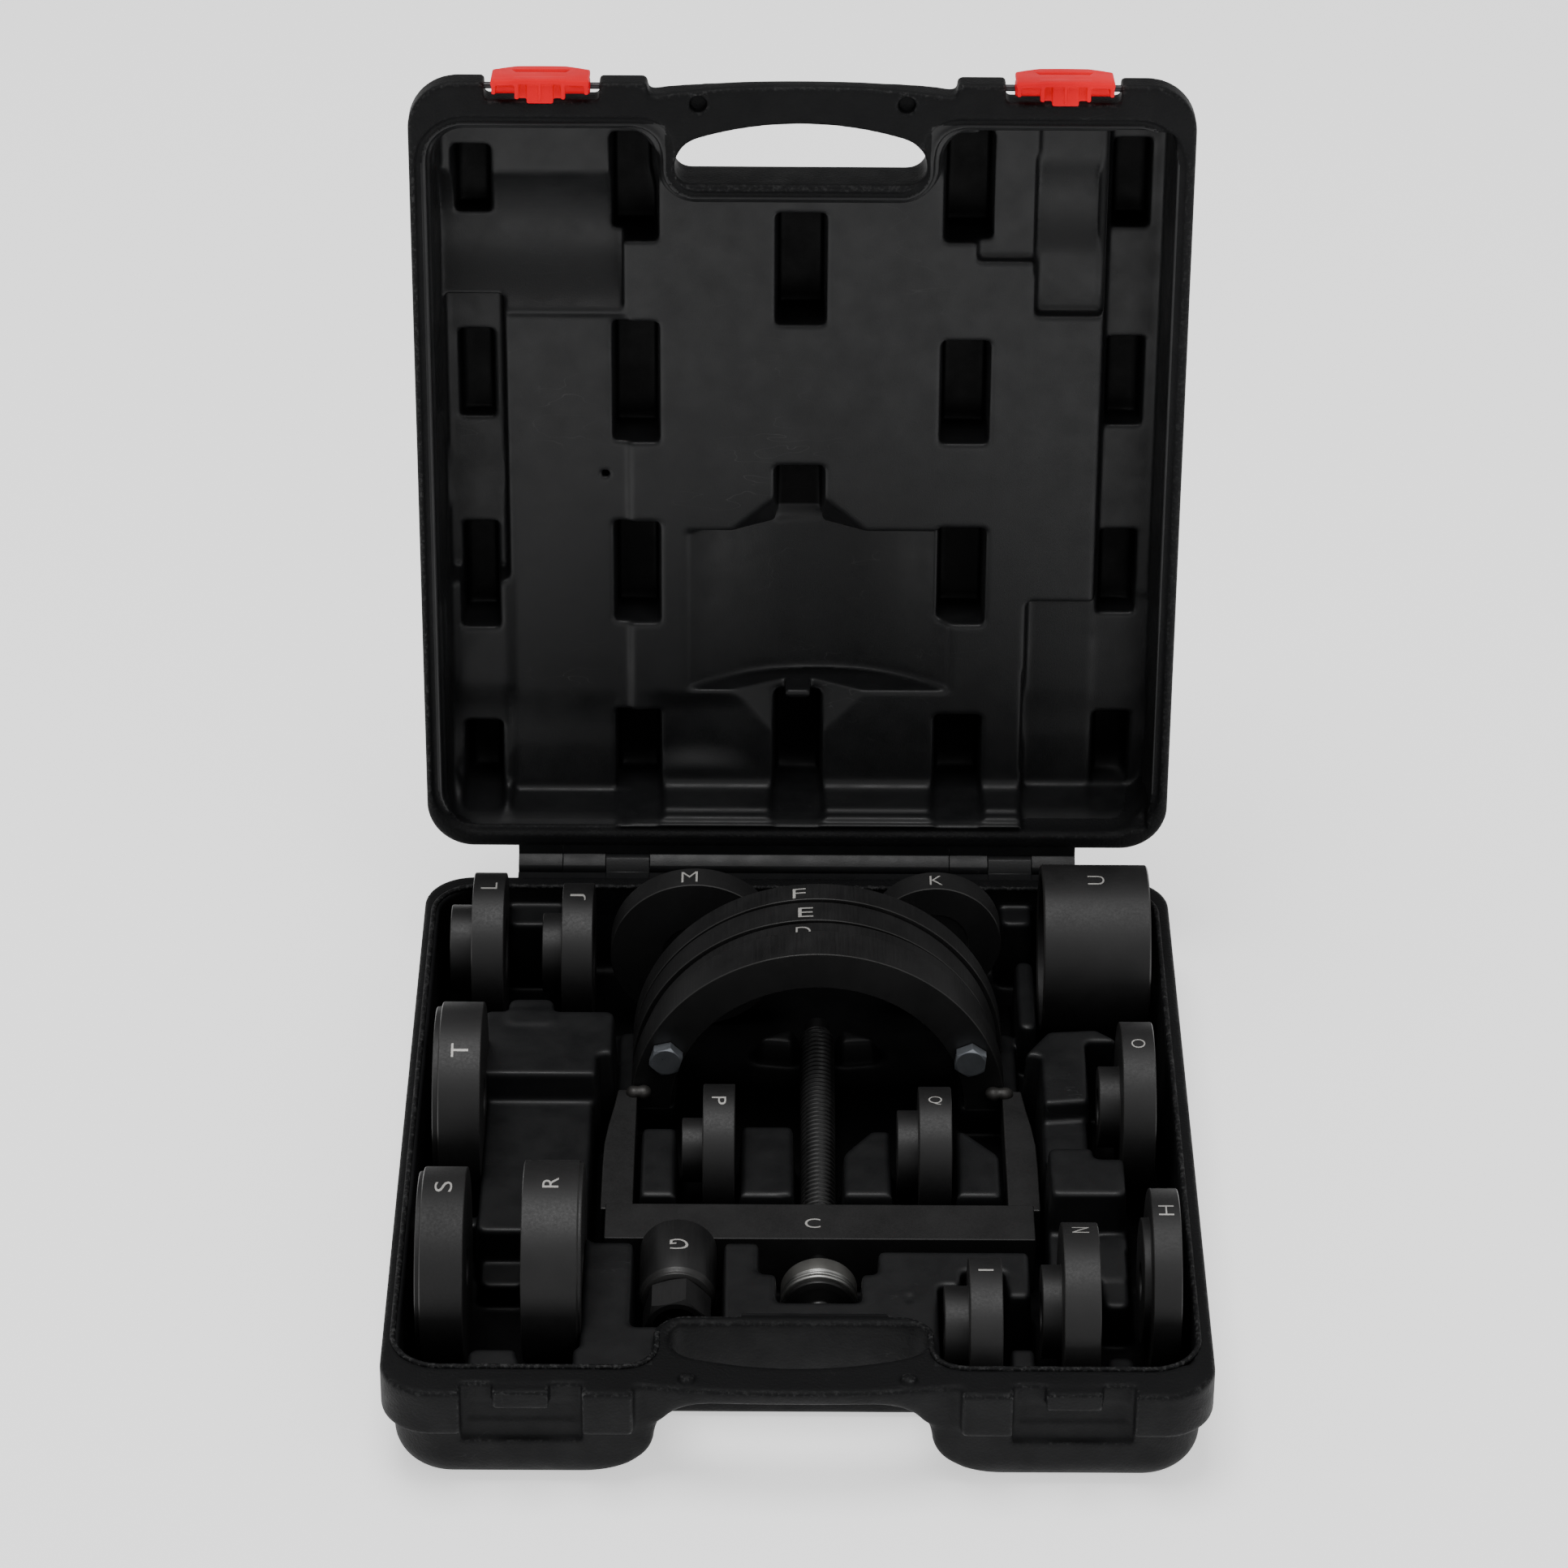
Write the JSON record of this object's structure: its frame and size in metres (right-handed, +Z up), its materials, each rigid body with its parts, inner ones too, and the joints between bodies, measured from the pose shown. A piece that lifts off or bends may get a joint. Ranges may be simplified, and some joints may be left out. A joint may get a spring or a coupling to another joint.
{
  "type": "wheel bearing puller kit",
  "caption": "Hinged hard case with fitted tray holding a screw-driven hub and bearing puller frame, half rings, stepped disc adapters and sleeves.",
  "frame": {"origin": "centre of the base's underside, case lying flat with its lid open", "axes": "+X to the right, +Y towards the hinge, +Z up"},
  "size_m": [0.44, 0.6047, 0.5742],
  "materials": {
    "shell": "fine-grained blow-moulded polyethylene",
    "latch": "satin moulded plastic",
    "pin": "plain drawn steel",
    "zinc": "bright zinc plate",
    "bearing_steel": "ground and polished",
    "thread_steel": "black oxide, oiled",
    "blacked_steel": "black oxide, turned"
  },
  "bodies": {
    "base": {"case_base": "shell", "hinge_pin_left": "pin", "hinge_pin_right": "pin"},
    "lid": {"case_lid": "shell", "latch_pivot_left": "pin", "latch_pivot_right": "pin"},
    "left_latch": {"latch_left": "latch"},
    "right_latch": {"latch_right": "latch"},
    "puller": {"crossbar_C": "blacked_steel", "side_leg_left": "blacked_steel", "side_leg_right": "blacked_steel", "half_ring_D": "blacked_steel", "half_ring_E": "blacked_steel", "half_ring_F": "blacked_steel", "ring_bolt_left": "zinc", "ring_nut_left": "zinc", "ring_bolt_right": "zinc", "ring_nut_right": "zinc"},
    "thrust_carriage": {"thrust_bearing": "bearing_steel", "thrust_washer": "bearing_steel"},
    "forcing_spindle": {"spindle_A": "thread_steel"},
    "sleeve_nut": {"sleeve_nut_G": "blacked_steel"},
    "disc_L": {"adapter_L": "blacked_steel"},
    "disc_J": {"adapter_J": "blacked_steel"},
    "disc_T": {"adapter_T": "blacked_steel"},
    "disc_S": {"adapter_S": "blacked_steel"},
    "disc_R": {"adapter_R": "blacked_steel"},
    "disc_P": {"adapter_P": "blacked_steel"},
    "disc_Q": {"adapter_Q": "blacked_steel"},
    "disc_I": {"adapter_I": "blacked_steel"},
    "disc_N": {"adapter_N": "blacked_steel"},
    "disc_H": {"adapter_H": "blacked_steel"},
    "disc_O": {"adapter_O": "blacked_steel"},
    "disc_M": {"adapter_M": "blacked_steel"},
    "disc_K": {"adapter_K": "blacked_steel"},
    "long_sleeve": {"sleeve_U": "blacked_steel"}
  },
  "joints": [
    {"name": "lid_hinge", "type": "hinge", "parent": "base", "child": "lid", "pos_m": [0, 0.255, 0.066], "axis": [-1, 0, 0], "range_deg": [-93.8, 0]},
    {"name": "latch_left_hinge", "type": "hinge", "parent": "lid", "child": "left_latch", "pos_m": [-0.145, 0.29647, 0.55861], "axis": [-1, 0, 0], "range_deg": [-8, 75]},
    {"name": "latch_right_hinge", "type": "hinge", "parent": "lid", "child": "right_latch", "pos_m": [0.145, 0.29647, 0.55861], "axis": [-1, 0, 0], "range_deg": [-8, 75]},
    {"name": "puller_lift", "type": "slide", "parent": "base", "child": "puller", "axis": [0, 0, 1], "range_m": [0, 0.16]},
    {"name": "spindle_feed", "type": "slide", "parent": "puller", "child": "thrust_carriage", "axis": [0, 1, 0], "range_m": [0, 0.016]},
    {"name": "spindle_turn", "type": "hinge", "parent": "thrust_carriage", "child": "forcing_spindle", "pos_m": [0.012, 0, 0.0275], "axis": [0, 1, 0], "range_deg": [0, 1446]},
    {"name": "sleeve_nut_lift", "type": "slide", "parent": "base", "child": "sleeve_nut", "axis": [0, 0, 1], "range_m": [0, 0.16]},
    {"name": "disc_L_lift", "type": "slide", "parent": "base", "child": "disc_L", "axis": [0, 0, 1], "range_m": [0, 0.16]},
    {"name": "disc_J_lift", "type": "slide", "parent": "base", "child": "disc_J", "axis": [0, 0, 1], "range_m": [0, 0.16]},
    {"name": "disc_T_lift", "type": "slide", "parent": "base", "child": "disc_T", "axis": [0, 0, 1], "range_m": [0, 0.16]},
    {"name": "disc_S_lift", "type": "slide", "parent": "base", "child": "disc_S", "axis": [0, 0, 1], "range_m": [0, 0.16]},
    {"name": "disc_R_lift", "type": "slide", "parent": "base", "child": "disc_R", "axis": [0, 0, 1], "range_m": [0, 0.16]},
    {"name": "disc_P_lift", "type": "slide", "parent": "base", "child": "disc_P", "axis": [0, 0, 1], "range_m": [0, 0.16]},
    {"name": "disc_Q_lift", "type": "slide", "parent": "base", "child": "disc_Q", "axis": [0, 0, 1], "range_m": [0, 0.16]},
    {"name": "disc_I_lift", "type": "slide", "parent": "base", "child": "disc_I", "axis": [0, 0, 1], "range_m": [0, 0.16]},
    {"name": "disc_N_lift", "type": "slide", "parent": "base", "child": "disc_N", "axis": [0, 0, 1], "range_m": [0, 0.16]},
    {"name": "disc_H_lift", "type": "slide", "parent": "base", "child": "disc_H", "axis": [0, 0, 1], "range_m": [0, 0.16]},
    {"name": "disc_O_lift", "type": "slide", "parent": "base", "child": "disc_O", "axis": [0, 0, 1], "range_m": [0, 0.16]},
    {"name": "disc_M_lift", "type": "slide", "parent": "base", "child": "disc_M", "axis": [0, 0, 1], "range_m": [0, 0.16]},
    {"name": "disc_K_lift", "type": "slide", "parent": "base", "child": "disc_K", "axis": [0, 0, 1], "range_m": [0, 0.16]},
    {"name": "long_sleeve_lift", "type": "slide", "parent": "base", "child": "long_sleeve", "axis": [0, 0, 1], "range_m": [0, 0.16]}
  ],
  "couplings": [
    {"joint": "spindle_turn", "follows": "spindle_feed", "rad_per_m": 1570.8}
  ]
}
